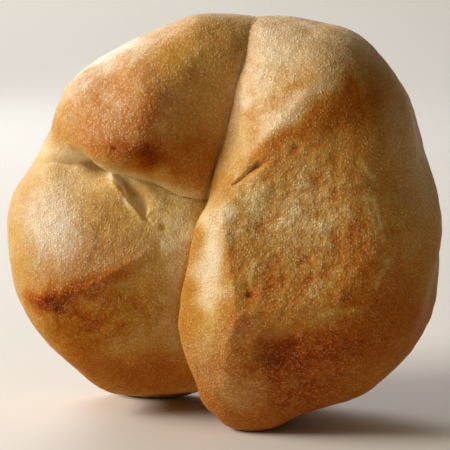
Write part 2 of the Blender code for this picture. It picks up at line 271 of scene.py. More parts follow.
def ridge_height(ridge, across, up):
    share, beside, length = along(ridge.start, ridge.end, across, up)
    past_the_ends = (np.abs(share - 0.5) - 0.5).clip(0) * length
    return ridge.height * np.exp(-np.hypot(beside, past_the_ends) / ridge.width)


def within(spot, across, up, power):
    """1 in the middle of a turned oval, falling to 0 outside it."""
    turn = math.radians(spot.turn)
    da, du = across - spot.at[0], up - spot.at[1]
    x = (da * math.cos(turn) + du * math.sin(turn)) / spot.size[0]
    y = (du * math.cos(turn) - da * math.sin(turn)) / spot.size[1]
    return np.exp(-(x**2 + y**2) ** (power / 2))


print("a ridge 1 mm high, at its crest:",
      ridge_height(Ridge((0, 0), (9, 0), 1.0, 1.5), np.array([4.0]), np.array([0.0])))

# %% Tears, and the whole baked top
TEAR_FADE = 0.05  # how quickly a tear opens at its ends, as a share of its length
FAR_RIM_WIDTH = 1.5
NEAR_RIM_WIDTH = 0.75
SLIT_WIDTH = 0.27
SLIT_WIDENING = 2.6  # how much wider the slit gets along the tear
SLIT_START = 0.2


def tear_depth(tear, across, up):
    """A tear in the crust: a sharp drop on its left, easing back, with a slit or a raised rim."""
    share, beside, _ = along(tear.start, tear.end, across, up)
    inside = step(share + TEAR_FADE, TEAR_FADE) * step(1 - share, TEAR_FADE)
    reach = tear.reach * np.sqrt((4 * share * (1 - share)).clip(0.01, 1))
    drop = tear.depth * step(beside, tear.edge) * np.exp(-(beside.clip(0) / reach) ** 2)
    far_rim = np.exp(-((beside - 2 * tear.reach) / FAR_RIM_WIDTH) ** 2)
    near_rim = np.exp(-((beside + NEAR_RIM_WIDTH) / NEAR_RIM_WIDTH) ** 2)
    half_width = SLIT_WIDTH * (1 + SLIT_WIDENING * share.clip(0, 0.8))
    slit = tear.slit * np.exp(-((beside - SLIT_WIDTH) / half_width) ** 4)
    slit = slit * step(share - SLIT_START, TEAR_FADE)
    return (drop + slit - tear.rim * (far_rim + near_rim)) * inside


def baked_top(across, up, faces, ridges=(), spots=(), tears=()):
    """How far out the baked top reaches over each point of the girth."""
    height = face_height(faces[0], across, up)
    for face in faces[1:]:
        height = soft_min([height, face_height(face, across, up)], face.soft)
    height = height + sum(ridge_height(ridge, across, up) for ridge in ridges)
    for spot in spots:
        height = height + spot.rise * within(spot, across, up, spot.power)
    return height - sum(tear_depth(tear, across, up) for tear in tears)


print("the plateau reaches", baked_top(np.array([20.0]), np.array([5.0]), RIGHT_FACES).round(1),
      "mm out from the girth")

# %% [markdown]
# ## The three lobes as solid forms
#
# A form is a function of a point in space, negative inside the dough. It is the soft maximum of a
# few limits: the baked top, the free bulge at the sides, the wall or lip at a seam, the flat base
# and the level that the roll stands on. Limits are easier to tune than a mesh, because each one
# can be moved or rounded on its own.

# %% Limits that all the lobes share
WANDER_LENGTH = 26.0  # spacing over which the ridges wander
WANDER = 0.5
TOP_SHARE = 0.92  # turns a height over the gently sloping tops into a distance
CREASE_OFFSET = 1.2  # where the upper seam's crease runs, beside the seam
GROOVE_DEPTH = 2.0
GROOVE_WIDTH = 0.9
BACK_REACH = 38.0  # how far back a lobe would bulge without the base
BACK_FULLNESS = 2.3  # 2 is a round bulge, and more is a boxier one
SIDE_SWELL = 0.3
SWELL_LENGTH = 22.0  # spacing of the soft swells along the sides
EDGE_SOFTNESS = 1.8  # how wide the round edge of the base is
FLAT_SOFTNESS = 0.25  # how wide the edges of the flats are


def wandered(points, lobe):
    """Across and up, so changed that a lobe's ridges wander a little off their straight lines."""
    across = points[:, 0] + WANDER * swell(points, WANDER_LENGTH, lobe.seed + 1)
    up = points[:, 1] + WANDER * swell(points, WANDER_LENGTH, lobe.seed + 2)
    return across, up


def top_limit(points, lobe, **relief):
    """The baked top as a limit."""
    return TOP_SHARE * (points[:, 2] - baked_top(*wandered(points, lobe), **relief))


def seam_groove(across, up):
    """How much a top is pinched in beside the right lobe."""
    from_crease = across - curve_through(SEAM, up) - CREASE_OFFSET
    return GROOVE_DEPTH * np.exp(-np.abs(from_crease) / GROOVE_WIDTH)


def bulge(points, lobe):
    """The free bulge of a lobe: its outline at the girth, drawn in towards front and back."""
    across, up, out = points.T
    first, last = lobe.outline[0][0], lobe.outline[-1][0]
    middle = (first + last) / 2
    angle = (np.degrees(np.arctan2(up, across)) - middle + 180) % 360 - 180 + middle
    reach = np.hypot(across, up) / curve_through(lobe.outline, np.clip(angle, first, last))
    depth = np.where(out > 0, out / lobe.front, -out / BACK_REACH)
    power = np.where(out > 0, lobe.fullness, BACK_FULLNESS)
    rounded = lobe.front * ((reach**power + depth**power) ** (1 / power) - 1)
    return rounded + SIDE_SWELL * swell(points, SWELL_LENGTH, lobe.seed)


def finish_form(limits, points):
    """Round a form's limits into each other, and level it at the base and the foot."""
    whole = soft_max(limits + [-points[:, 2] - BASE_DEPTH], EDGE_SOFTNESS)
    return soft_max([whole, FOOT_LEVEL - points[:, 1]], FLAT_SOFTNESS)


print("the base edge is rounded over about", 2 * EDGE_SOFTNESS, "mm")

# %% The right lobe
SEAM_TURN = 9.0  # height where the seam turns from a lip into a valley
SEAM_TURN_EDGE = 3.0
LIP_OVERHANG = 0.35  # how far the right lobe's lip leans over the lower lobe
LIP_START = -37.0
LIP_START_EDGE = 2.5
LIP_HEIGHT = 24.0
LIP_SOFTNESS = 1.3
VALLEY_LEAN = 0.7  # how far the upper wall of the seam leans back
VALLEY_HEIGHT = 19.0
VALLEY_SOFTNESS = 1.7


def right_form(points):
    """The large right lobe. It laps over the lower lobe and meets the upper one in a valley."""
    across, up, out = points.T
    upper = step(up - SEAM_TURN, SEAM_TURN_EDGE)
    overhang = LIP_OVERHANG * (1 - upper) * step(up - LIP_START, LIP_START_EDGE)
    lean_back = VALLEY_LEAN * upper
    shifted = overhang * (LIP_HEIGHT - out) - lean_back * (VALLEY_HEIGHT - out)
    wall = (curve_through(SEAM, up) - across + shifted) / np.hypot(1, overhang + lean_back)
    top = top_limit(points, RIGHT, faces=RIGHT_FACES, ridges=RIGHT_RIDGES,
                    spots=RIGHT_SPOTS, tears=RIGHT_TEARS)
    edge = LIP_SOFTNESS + (VALLEY_SOFTNESS - LIP_SOFTNESS) * upper
    return finish_form([soft_max([top, wall], edge), bulge(points, RIGHT)], points)


print("depth inside the right lobe, at its middle:",
      -right_form(np.array([RIGHT.middle], float)).round(1), "mm")

# %% The upper left lobe
INNER_REACH = 14.0  # how far the left lobes reach into the right one
FOLD_LEAN = 0.30  # how far the underside of the lip leans out, more so at its left end
FOLD_HEIGHT = 21.0
FOLD_END = -31.5
FOLD_END_EDGE = 1.2
FOLD_SOFTNESS = 1.6
SHALLOW_ROUNDING = 0.8  # how much rounder the lip gets at that end
TUCK_START = -29.0  # where the lip is tucked under, over the pocket below it
TUCK_END = -22.0
TUCK_EDGE = 1.5
TUCK_LEVEL = 12.0  # only this far in front of the girth
TUCK_LEVEL_EDGE = 2.0
TUCK_LEAN = 0.45


def upper_form(points):
    """The upper left lobe, a dome that folds down over the lower lobe."""
    across, up, out = points.T
    tucked = (step(across - TUCK_START, TUCK_EDGE) * step(TUCK_END - across, TUCK_EDGE)
              * step(out - TUCK_LEVEL, TUCK_LEVEL_EDGE))
    shallow = step(FOLD_END - across, FOLD_END_EDGE)
    lean = FOLD_LEAN + TUCK_LEAN * (shallow - tucked)
    underside = (curve_through(LIP, across) - up - lean * (FOLD_HEIGHT - out)) / np.hypot(1, lean)
    top = top_limit(points, UPPER, faces=UPPER_FACES, spots=UPPER_SPOTS) + seam_groove(across, up)
    lip = soft_max([top, underside], FOLD_SOFTNESS * (1 + SHALLOW_ROUNDING * shallow))
    return finish_form([lip, bulge(points, UPPER), across - INNER_REACH], points)


print("depth inside the upper lobe, at its middle:",
      -upper_form(np.array([UPPER.middle], float)).round(1), "mm")

# %% The lower left lobe
# Its heel, out of sight at the back, is the other place that the roll stands on.
HEEL_MIDDLE = (-20, -30, -20)
HEEL_RADII = (25, 19.6, 13)
HEEL_SOFTNESS = 1.5
RIM_SOFTNESS = 2.2
UPPER_REACH = 21.0  # how far the lobe reaches up into the upper one
SHOULDER = -30.0  # right of here it reaches further
SHOULDER_EDGE = 2.0
SHOULDER_REACH = 5.0


def lower_form(points):
    """The lower left lobe, torn open beside its dome, with a heel at the back."""
    across, up, out = points.T
    from_heel = (points - HEEL_MIDDLE) / HEEL_RADII
    heel = HEEL_RADII[2] * (np.linalg.norm(from_heel, axis=1) - 1)
    bulk = soft_min([bulge(points, LOWER), heel], HEEL_SOFTNESS)
    top = top_limit(points, LOWER, faces=LOWER_FACES, ridges=LOWER_RIDGES,
                    spots=LOWER_SPOTS, tears=LOWER_TEARS)
    upper_end = up - UPPER_REACH - SHOULDER_REACH * step(across - SHOULDER, SHOULDER_EDGE)
    return finish_form([soft_max([top, bulk], RIM_SOFTNESS), across - INNER_REACH, upper_end],
                       points)


print("depth inside the lower lobe, at its middle:",
      -lower_form(np.array([LOWER.middle], float)).round(1), "mm")

# %% [markdown]
# ## Growing the lobes
#
# Blender has no tool that turns a formula into a surface, but a sphere of points can feel for it.
# Each point of an icosphere is sent out along its own line from the lobe's middle, and halving
# finds where that line leaves the dough. The three lobes are then joined by a Boolean union, which
# leaves a sharp seam where they meet, as between real lobes.

# %% Finding the surface of a form
SEARCH_STEPS = 24
SEARCH_REACH = 80.0


def push_out(form, middle, directions):
    """The points where lines from a lobe's middle leave its form, found by halving."""
    inside = np.zeros(len(directions))
    outside = np.full(len(directions), SEARCH_REACH)
    for _ in range(SEARCH_STEPS):
        halfway = (inside + outside) / 2
        still_in = form(middle + directions * halfway[:, None]) < 0
        inside = np.where(still_in, halfway, inside)
        outside = np.where(still_in, outside, halfway)
    return middle + directions * inside[:, None]


def read_points(mesh):
    """A mesh's points in the roll's own frame: across, up and out, in millimetres."""
    flat = np.empty(len(mesh.vertices) * 3, np.float32)
    mesh.vertices.foreach_get("co", flat)
    x, y, z = flat.reshape(-1, 3).T.astype(float) / MILLIMETRE
    return np.stack([x, z, -y], 1)


def write_points(mesh, points):
    """Set a mesh's points from across, up and out, in millimetres."""
    across, up, out = points.T
    placed = np.stack([across, -out, up], 1) * MILLIMETRE
    mesh.vertices.foreach_set("co", placed.astype(np.float32).ravel())
    mesh.update()


surface = push_out(right_form, np.array(RIGHT.middle, float), np.array([[0.0, 0.0, 1.0]]))
print("straight out from its middle, the right lobe ends at", surface.round(1), "mm")

# %% A sphere of points for each lobe
SUBDIVISIONS = 7
# The slit and the torn flap need a finer mesh: where, and how far round it, for each halving.
FineSpot = namedtuple("FineSpot", "at reaches")
SLIT_SPOT = FineSpot((8.5, 15.0, 32.0), (8.0, 6.5))
FLAP_SPOT = FineSpot((-20.0, 9.5, 22.0), (9.0, 7.5))


def refine(ball, middle, spot):
    """Halve the edges of the sphere that face a fine spot."""
    across, up, out = np.array(spot.at) - middle
    towards = Vector((across, -out, up))
    for reach in spot.reaches:
        limit = math.cos(reach / towards.length)
        facing = {vertex for vertex in ball.verts
                  if vertex.co.normalized().dot(towards.normalized()) > limit}
        edges = [edge for edge in ball.edges if facing.issuperset(edge.verts)]
        bmesh.ops.subdivide_edges(ball, edges=edges, cuts=1, use_grid_fill=True)
    for vertex in ball.verts:
        vertex.co = vertex.co.normalized() * MILLIMETRE


def make_lobe(name, lobe, form, collection, fine_spot=None):
    """A sphere of points, pushed out to a lobe's surface."""
    ball = bmesh.new()
    bmesh.ops.create_icosphere(ball, subdivisions=SUBDIVISIONS, radius=MILLIMETRE)
    if fine_spot is not None:
        refine(ball, np.array(lobe.middle, float), fine_spot)
    bmesh.ops.triangulate(ball, faces=ball.faces)
    mesh = bpy.data.meshes.new(name)
    ball.to_mesh(mesh)
    ball.free()
    directions = read_points(mesh)  # of length 1, as the sphere's radius is 1 mm
    write_points(mesh, push_out(form, np.array(lobe.middle, float), directions))
    thing = bpy.data.objects.new(name, mesh)
    collection.objects.link(thing)
    return thing


loose = bpy.data.collections.new("loose_lobes")
bpy.context.scene.collection.children.link(loose)
right = make_lobe("right_lobe", RIGHT, right_form, bpy.context.scene.collection, SLIT_SPOT)
make_lobe("upper_lobe", UPPER, upper_form, loose)
make_lobe("lower_lobe", LOWER, lower_form, loose, FLAP_SPOT)
print("points on the right lobe:", len(right.data.vertices))


# %% Joining the lobes
def join_lobes(first, others):
    """Join the lobes into one solid with a Boolean union, and drop the loose ones."""
    union = first.modifiers.new("join lobes", "BOOLEAN")
    union.operation = "UNION"
    union.operand_type = "COLLECTION"
    union.collection = others
    union.solver = "MANIFOLD"  # at this grain it takes seconds, and the lobes are closed
    depsgraph = bpy.context.evaluated_depsgraph_get()
    mesh = bpy.data.meshes.new_from_object(first.evaluated_get(depsgraph))
    for lobe in list(others.objects) + [first]:
        bpy.data.objects.remove(lobe)
    bpy.data.collections.remove(others)
    return mesh


roll_mesh = join_lobes(right, loose)
print("the joined roll has", len(roll_mesh.polygons), "faces")

# %% [markdown]
# ## Wrinkles, pits and creases in the crust
#
# As a roll cools, its crust shrinks onto softer crumb and wrinkles softly. Burst bubbles leave a
# few small pits, and the skin creases finely round the plateau. A bump map would be cheaper, but
# would leave the outline smooth, so these are real relief: points moved along their normals.
# Broad lumps run everywhere, and the wrinkles, stretched along a slant, only over the open tops.

# %% Noise over the points
SEED_SHIFT = (7.3, 3.1, 5.7)  # how far apart two seeds read the noise
OCTAVE_FADE = 1.0  # with 1 and 2, each octave is half as high
OCTAVE_PACE = 2.0  # and half as wide as the one before


def noise_over(points, size, seed, octaves=1):
    """Smooth noise of about -1 to 1 with lumps of that size, read at every point."""
    shift = Vector([seed * gap for gap in SEED_SHIFT])
    if octaves == 1:
        return np.array([noise.noise(Vector(point) + shift) for point in points / size])
    return np.array([noise.fractal(Vector(point) + shift, OCTAVE_FADE, OCTAVE_PACE, octaves)
                     for point in points / size])


def read_normals(mesh):
    """A mesh's normals at its points, in the roll's own frame."""
    flat = np.empty(len(mesh.vertices) * 3, np.float32)
    mesh.vertex_normals.foreach_get("vector", flat)
    x, y, z = flat.reshape(-1, 3).T.astype(float)
    return np.stack([x, z, -y], 1)


print("noise at three points:", noise_over(np.eye(3), 2.0, 1).round(2))

# %% Where the crust wrinkles
TOP_LEVEL = 8.0  # the open tops start this far in front of the girth
TOP_EDGE = 3.0
ZONE_EDGE = 4  # higher is crisper
WrinkleZone = namedtuple("WrinkleZone", "at size turn share")
WRINKLE_ZONES = [
    WrinkleZone((20, 2), (19, 20), 0, 1.0),
    WrinkleZone((11, 34), (8, 13), -10, 0.55),
    WrinkleZone((16, -30), (22, 12), 0, 0.40),
    WrinkleZone((-27, -20), (14, 9), 0, 0.75),
    WrinkleZone((-12, 3), (6, 7), 0, 0.6),
    WrinkleZone((-22, 30), (14, 12), 0, 0.30),
    WrinkleZone((-34, 0), (10, 10), 0, 0.25),
]


def on_top(points):
    """1 on the baked tops, falling to 0 towards the girth."""
    return step(points[:, 2] - TOP_LEVEL, TOP_EDGE)


def wrinkle_share(points):
    """How much of the wrinkles' full height each point gets."""
    across, up, _ = points.T
    share = np.zeros(len(points))
    for zone in WRINKLE_ZONES:
        share = np.maximum(share, zone.share * within(zone, across, up, ZONE_EDGE))
    return share * on_top(points)


print("wrinkled zones:", len(WRINKLE_ZONES))

# %% The wrinkles
WRINKLE_SIZE = 3.0  # spacing of the wrinkles on the open tops
WRINKLE_STRETCH = 1.7  # how much longer than wide they are, along their slant
WRINKLE_SLANT = 62.0  # in degrees, counted from across
WRINKLE_BEND = 0.35  # how strongly they curl
WRINKLE_BEND_SIZE = 1.3  # over how many wrinkles
WRINKLE_OCTAVES = 3
WRINKLE_CONTRAST = 1.7
FAINT_PATCH_SIZE = 8.0
FAINT_PATCH_RARITY = 0.10
FAINT_PATCH_EDGE = 0.12
FAINT_SHARE = 0.6  # how high the wrinkles still are in the faint patches


def wrinkles_over(points):
    """Soft wrinkles: lumps of a bent noise, strong in some patches and fainter in others."""
    slant = math.radians(WRINKLE_SLANT)
    along_slant = points[:, 0] * math.cos(slant) + points[:, 1] * math.sin(slant)
    over_slant = points[:, 1] * math.cos(slant) - points[:, 0] * math.sin(slant)
    laid = np.stack([over_slant, along_slant / WRINKLE_STRETCH, points[:, 2]], 1) / WRINKLE_SIZE
    bend = np.stack([noise_over(laid, WRINKLE_BEND_SIZE, seed) for seed in (4, 5, 6)], 1)
    folds = noise_over(laid + WRINKLE_BEND * bend, 1.0, 7, WRINKLE_OCTAVES)
    folds = (WRINKLE_CONTRAST * folds).clip(-1, 1)
    strong = step(noise_over(points, FAINT_PATCH_SIZE, 8) + FAINT_PATCH_RARITY, FAINT_PATCH_EDGE)
    return folds * (FAINT_SHARE + (1 - FAINT_SHARE) * strong)


print("wrinkles at three points:", wrinkles_over(np.eye(3) * WRINKLE_SIZE).round(2))

# %% Pits and creases
# Burst bubbles and pinholes, seen as small dark pits: where, how wide and how deep.
Pit = namedtuple("Pit", "at width depth")
PITS = [
    Pit((14.2, 33.0), 0.75, 0.6),
    Pit((19.2, 22.0), 0.80, 0.6),
    Pit((8.9, -11.6), 0.85, 0.9),
    Pit((8.4, -9.6), 0.60, 0.5),
    Pit((-22.0, 21.0), 0.50, 0.5),
    Pit((-12.2, 1.8), 0.65, 0.6),
]
# Fine creases in the skin of the right lobe, round its plateau.
CREASES = [
    Ridge((33.3, 18.9), (36.0, 15.4), 0.16, 0.5),
    Ridge((34.7, 10.4), (37.2, 3.3), 0.14, 0.4),
    Ridge((36.6, 10.5), (38.9, 1.5), 0.14, 0.4),
    Ridge((37.0, -9.9), (39.8, -3.4), 0.16, 0.45),
    Ridge((24.7, -15.8), (33.7, -14.3), 0.14, 0.5),
    Ridge((26.9, -9.1), (29.3, -5.7), 0.14, 0.45),
    Ridge((9.9, -3.8), (9.3, -9.2), 0.18, 0.5),
]


def pit_depth(points):
    """How deep the pits are at each point of the baked tops."""
    across, up, _ = points.T
    depth = np.zeros(len(points))
    for pit in PITS:
        away = np.hypot(across - pit.at[0], up - pit.at[1]) / pit.width
        depth = depth + pit.depth * np.exp(-away**2)
    return depth * on_top(points)


def crease_height(points):
    """How high the creases are at each point of the baked tops."""
    across, up, _ = points.T
    return sum(ridge_height(crease, across, up) for crease in CREASES) * on_top(points)


print(len(PITS), "pits and", len(CREASES), "creases")

# %% Moving the points
LUMP_SIZE = 7.0
LUMP_HEIGHT = 0.26
LUMP_OCTAVES = 2
PIMPLE_SIZE = 2.0
PIMPLE_HEIGHT = 0.10
WRINKLE_HEIGHT = 0.17


def add_relief(mesh):
    """Move the points along their normals, and give back how folded the crust is at each."""
    points, normals = read_points(mesh), read_normals(mesh)
    folds = wrinkle_share(points) * wrinkles_over(points)
    height = LUMP_HEIGHT * noise_over(points, LUMP_SIZE, 1, LUMP_OCTAVES)
    height = height + PIMPLE_HEIGHT * noise_over(points, PIMPLE_SIZE, 2)
    height = height + WRINKLE_HEIGHT * folds + crease_height(points) - pit_depth(points)
    moved = points + normals * height[:, None]
    moved[:, 1] = np.maximum(moved[:, 1], FOOT_LEVEL)
    write_points(mesh, moved)
    return folds


folds = add_relief(roll_mesh)
print("the folds go from", folds.min().round(2), "to", folds.max().round(2), "of their full height")

# %% [markdown]
# ## Where the oven browned it
#
# A crust browns where it stood up into the oven's heat: on domes, ridges and corners. It stays pale
# in seams and where lobes touched. Where the dough was oiled well, its crust is clear amber, and
# where it was dry, it is duller and more pink. Each is a number from 0 to 1 at every point of the
# mesh, which needs no unwrapping and no painted image. Each lobe has its own level of both, and
# patches change it, as if dabbed on with a brush. The deep amber of oiled crust is partly painted
# warm light, bounced into the shade. Some patches, the pits and the slit are darker as painted
# shade, and some patches are paler as painted glints.

# %% Levels and patches of browning and oil
Level = namedtuple("Level", "brown oil")
Patch = namedtuple("Patch", "at size turn brown oil")
RIGHT_LEVEL = Level(0.49, 0.80)
UPPER_LEVEL = Level(0.40, 0.80)
LOWER_LEVEL = Level(0.36, 0.80)
RIGHT_PATCHES = [
    Patch((10, 38), (8, 13), -15, -0.25, -0.42),  # pale slope beside the upper seam
    Patch((5, 20), (4.5, 7), 0, -0.16, -0.10),
    Patch((24, 43), (11, 6), 0, -0.20, -0.28),
    Patch((18.5, 30.8), (11, 2.0), 40, -0.20, -0.45),  # dull crest under that slope
    Patch((32, 31), (8.5, 5.0), 20, 0.18, 0.0),  # brown shoulder
    Patch((16.5, 24.0), (10, 2.2), 34, 0.14, 0.0),
    Patch((20, 8), (13, 12), 10, -0.15, -0.10),  # plateau, duller in the middle
    # Paler under the slit: fresh dough, and partly painted glints.
    Patch((9.3, 10.5), (3.2, 4.5), 20, -0.22, 0.0),  # fresh dough under the slit
    Patch((1.0, 3), (3.6, 8), 0, -0.39, -0.26),  # lip, from pale to amber
    Patch((0.0, -9), (3.4, 8), 0, -0.36, -0.36),
    Patch((-1.5, -20), (4.2, 7), 0, -0.12, 0.10),
    Patch((-1.0, -29), (5.0, 9), 0, -0.04, -0.25),
    Patch((5.5, -37), (7.0, 6), 0, -0.20, -0.22),
    Patch((4.6, 6.2), (1.8, 3.6), 15, -0.20, -0.15),
    Patch((7.7, 31.1), (1.2, 2.0), 0, -0.18, -0.2),
    Patch((23.5, -10.4), (2.8, 1.6), 20, -0.10, -0.15),
    # Paler streak on the plateau below the slit: painted glints.
    Patch((17.5, 6), (5.0, 1.8), 15, -0.14, 0.0),
    Patch((24.0, 15.0), (1.3, 3.2), -10, 0.16, 0.0),
    Patch((31, 0), (5.5, 13), 5, 0.03, 0.05),
    Patch((13, -6), (5, 6), 0, 0.06, 0.0),
    Patch((8.0, -19.5), (4.5, 3.6), -10, 0.12, -0.45),  # knob
    Patch((16.0, -26), (6.0, 5.4), 0, 0.13, 0.0),
    Patch((15.6, -25.6), (4.3, 4.1), 0, 0.10, 0.0),  # scorched dimple
    Patch((26, -24), (10, 5), 0, 0.20, 0.0),
    Patch((17, -37), (21, 11), 0, 0.24, 0.0),  # foot
    Patch((39, -18), (11, 13), 30, 0.17, 0.0),  # lower right side
    Patch((44, 24), (6.5, 22), 10, -0.10, -0.20),  # paler side
]
UPPER_PATCHES = [
    Patch((-23.5, 30), (11, 11), 0, 0.17, -0.78),  # dull brown dome
    Patch((-14.2, 26.5), (2.4, 10), -4, 0.16, 0.0),
    # Browner at the foot of the dome's shaded side: browning, and partly painted shade.
    Patch((-15.8, 19.6), (6.5, 3.4), -22, 0.26, 0.1),
    Patch((-20, 18.6), (12, 2.6), -12, 0.08, 0.2),  # browned lip band
    # Browner on the face sloping to the seam, turned from the light: partly painted shade.
    Patch((-5, 19), (8, 7), 0, 0.20, 0.0),
    Patch((-33, 35), (5, 7), -20, -0.12, -0.1),
    Patch((-27, 43), (10, 5), 15, -0.24, -0.60),  # pale shoulder
    Patch((-38, 19), (6, 3), 0, -0.10, -0.20),
    Patch((-22.8, 31.5), (2.4, 2.2), 10, -0.13, -0.2),
    Patch((-22.6, 27.6), (1.6, 2.4), -20, -0.09, -0.2),
]
LOWER_PATCHES = [
    Patch((-38, 2), (8, 9), 15, -0.16, -0.75),  # dull dome
    Patch((-30, -6), (13, 4.8), 20, 0.14, -0.45),
    Patch((-40.5, -15.5), (5.5, 3.4), 25, 0.30, 0.0),  # scorched corner
    Patch((-30, -12.2), (13, 2.1), 22, 0.25, 0.0),  # fold
    # Browner below the fold, where the lobe faces down from the light: partly painted shade.
    Patch((-26, -19), (14, 7.0), 5, 0.18, 0.15),
    Patch((-34, -26), (8, 8), -40, 0.18, 0.15),
    Patch((-18, -37), (18, 8), 0, 0.30, 0.0),
    Patch((-8.5, -12), (3.8, 16), 0, -0.14, -0.15),  # amber beside the seam
    Patch((-12, 5), (8, 7), 0, -0.20, 0.15),
    # Paler in the gully: pale dough, and partly a painted highlight where it shines.
    Patch((-9, -0.5), (3.6, 3), 0, -0.18, 0.0),  # pale gully
    Patch((-21.6, 10.8), (5.5, 0.8), -56, -0.30, -0.5),  # torn edge of the flap
    Patch((-32, 14), (11, 4.5), 0, -0.12, -0.1),
]
print("patches:", len(RIGHT_PATCHES) + len(UPPER_PATCHES) + len(LOWER_PATCHES))

# %% Lobes and their patches
PATCH_WANDER_LENGTH = 7.0  # spacing over which the patches' edges wander
PATCH_WANDER = 0.7
PATCH_EDGE = 2.8  # higher is crisper
SEAM_EDGE = 0.5  # how wide the change of browning is at the seam
LIP_EDGE = 0.4  # and at the lip


def patched(level, patches, across, up):
    """A lobe's browning and oil after all of its patches."""
    brown, oil = level.brown, level.oil
    for patch in patches:
        share = within(patch, across, up, PATCH_EDGE)
        brown = brown + patch.brown * share
        oil = oil + patch.oil * share
    return brown, oil


def lobe_shares(points):
    """How much each point belongs to the right, the upper and the lower lobe."""
    across, up, _ = points.T
    on_right = step(across - curve_through(SEAM, up), SEAM_EDGE)
    on_upper = step(up - curve_through(LIP, across) - LIP_EDGE, LIP_EDGE) * (1 - on_right)
    return on_right, on_upper, 1 - on_right - on_upper


print("shares of the lobes at the middle:", np.round(lobe_shares(np.zeros((1, 3))), 2).ravel())

# %% Pale lips, rims and creases, dark pits, and the base
LIP_PALENESS = 0.16
LIP_CREST = 0.8  # how far above the lip's edge it is palest
LIP_CREST_WIDTH = 1.3
TUCKED_WIDTH = 1.5  # how wide the pale dough below it is
RIM_PALENESS = 0.12  # the rim that touched its neighbours on the tray
RIM_DULLNESS = 0.30
RIM_FRONT = 14.0
RIM_FRONT_EDGE = 5.0
RIM_LOW = -5.0
RIM_LOW_EDGE = 5.0
FOLD_PALENESS = 0.09  # the tops of the wrinkles are paler
CREASE_PALENESS = 1.7  # for each millimetre of their height
# Pits and the slit are darkened by their depth: painted shade.
PIT_PAINTED_SHADE = 0.32  # for each millimetre of their depth
SLIT = RIGHT_TEARS[0]
SLIT_PAINTED_SHADE = 0.10
BASE_BROWNING = 0.58
BASE_UNEVENNESS = 0.16
BASE_PATCH_SIZE = 13.0
BASE_OCTAVES = 3
BASE_OIL = 0.45
BASE_EDGE = 2.5  # how far in front of the base its browning ends
BASE_EDGE_WIDTH = 1.0


def browning_and_oil(points, folds):
    """How brown and how oily the crust is at each point, before the fine mottling."""
    across, up, out = points.T
    on_right, on_upper, on_lower = shares = lobe_shares(points)
    wandered_across = across + PATCH_WANDER * swell(points, PATCH_WANDER_LENGTH, 41)
    wandered_up = up + PATCH_WANDER * swell(points, PATCH_WANDER_LENGTH, 42)
    brown, oil = np.zeros(len(points)), np.zeros(len(points))
    for share, level, patches in zip(shares, (RIGHT_LEVEL, UPPER_LEVEL, LOWER_LEVEL),
                                     (RIGHT_PATCHES, UPPER_PATCHES, LOWER_PATCHES)):
        lobe_brown, lobe_oil = patched(level, patches, wandered_across, wandered_up)
        brown = brown + share * lobe_brown
        oil = oil + share * lobe_oil
    above_lip = up - curve_through(LIP, across)
    crest = on_upper * np.exp(-((above_lip - LIP_CREST) / LIP_CREST_WIDTH) ** 2)
    tucked = on_lower * np.exp(-(above_lip / TUCKED_WIDTH) ** 2)
    rim = (1 - step(out - RIM_FRONT, RIM_FRONT_EDGE)) * step(wandered_up - RIM_LOW, RIM_LOW_EDGE)
    slit = on_right * (tear_depth(SLIT, *wandered(points, RIGHT)) - SLIT.depth).clip(0)
    brown = brown - LIP_PALENESS * (crest + tucked) - RIM_PALENESS * rim - FOLD_PALENESS * folds
    brown = brown - CREASE_PALENESS * crease_height(points)
    # Painted shade in the pits and the slit, darker where they are deeper.
    brown = brown + PIT_PAINTED_SHADE * pit_depth(points) + SLIT_PAINTED_SHADE * slit
    oil = oil - RIM_DULLNESS * rim
    base = BASE_UNEVENNESS * noise_over(points, BASE_PATCH_SIZE, 9, BASE_OCTAVES)
    at_base = 1 - step(out + BASE_DEPTH - BASE_EDGE, BASE_EDGE_WIDTH)
    return (brown * (1 - at_base) + (BASE_BROWNING + base) * at_base,
            oil * (1 - at_base) + BASE_OIL * at_base)


def store(mesh, name, values):
    """Keep a number from 0 to 1 at each point, for the material to read."""
    attribute = mesh.attributes.new(name, "FLOAT", "POINT")
    attribute.data.foreach_set("value", values.clip(0, 1).astype(np.float32))


points = read_points(roll_mesh)
brown, oil = browning_and_oil(points, folds)
store(roll_mesh, "browning", brown)
store(roll_mesh, "oil", oil)
store(roll_mesh, "coarse", wrinkle_share(points))
print("browning from", brown.min().round(2), "to", brown.max().round(2))

# %% [markdown]
# ## Standing the roll in its place
#
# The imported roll's box says where the real one stands. The fine roll is moved so that it stands on
# the same level, centred on the same spot.

# %% Placing the roll
roll = bpy.data.objects.new("brioche_roll", roll_mesh)
bpy.context.scene.collection.objects.link(roll)
placed = read_points(roll_mesh) * MILLIMETRE
low, high = placed.min(0), placed.max(0)
shift = Vector((
    (cad_low[0] + cad_high[0] - low[0] - high[0]) / 2,
    (cad_low[1] + cad_high[1] + low[2] + high[2]) / 2,
    cad_low[2] - low[1],
))
for vertex in roll_mesh.vertices:
    vertex.co += shift
roll_mesh.shade_smooth()
print("the roll was moved by", [round(value * 1000, 2) for value in shift], "mm")

# %% [markdown]
# ## Baked crust
#
# The crust is enriched dough: olive oil and egg make it brown early, stay soft and shine a
# little. The browning number, mottled by noise, reads two ramps from cream to dark brown, a dull
# one for dry crust and an amber one for oiled crust, and the oil number blends them. The amber
# ramp's deep colour is partly painted warm light, bounced into the shade. Tiny blisters show as
# pale flecks, more so on dry or wrinkled crust; the pale flecks, grit and raised grain are partly
# painted glints, and the extra flecks on wrinkled crust are painted glints. Oil makes the crust
# less rough, and a thin film of it glosses the palest crust. Patterns in space stay sharp close up
# and need no unwrapping.


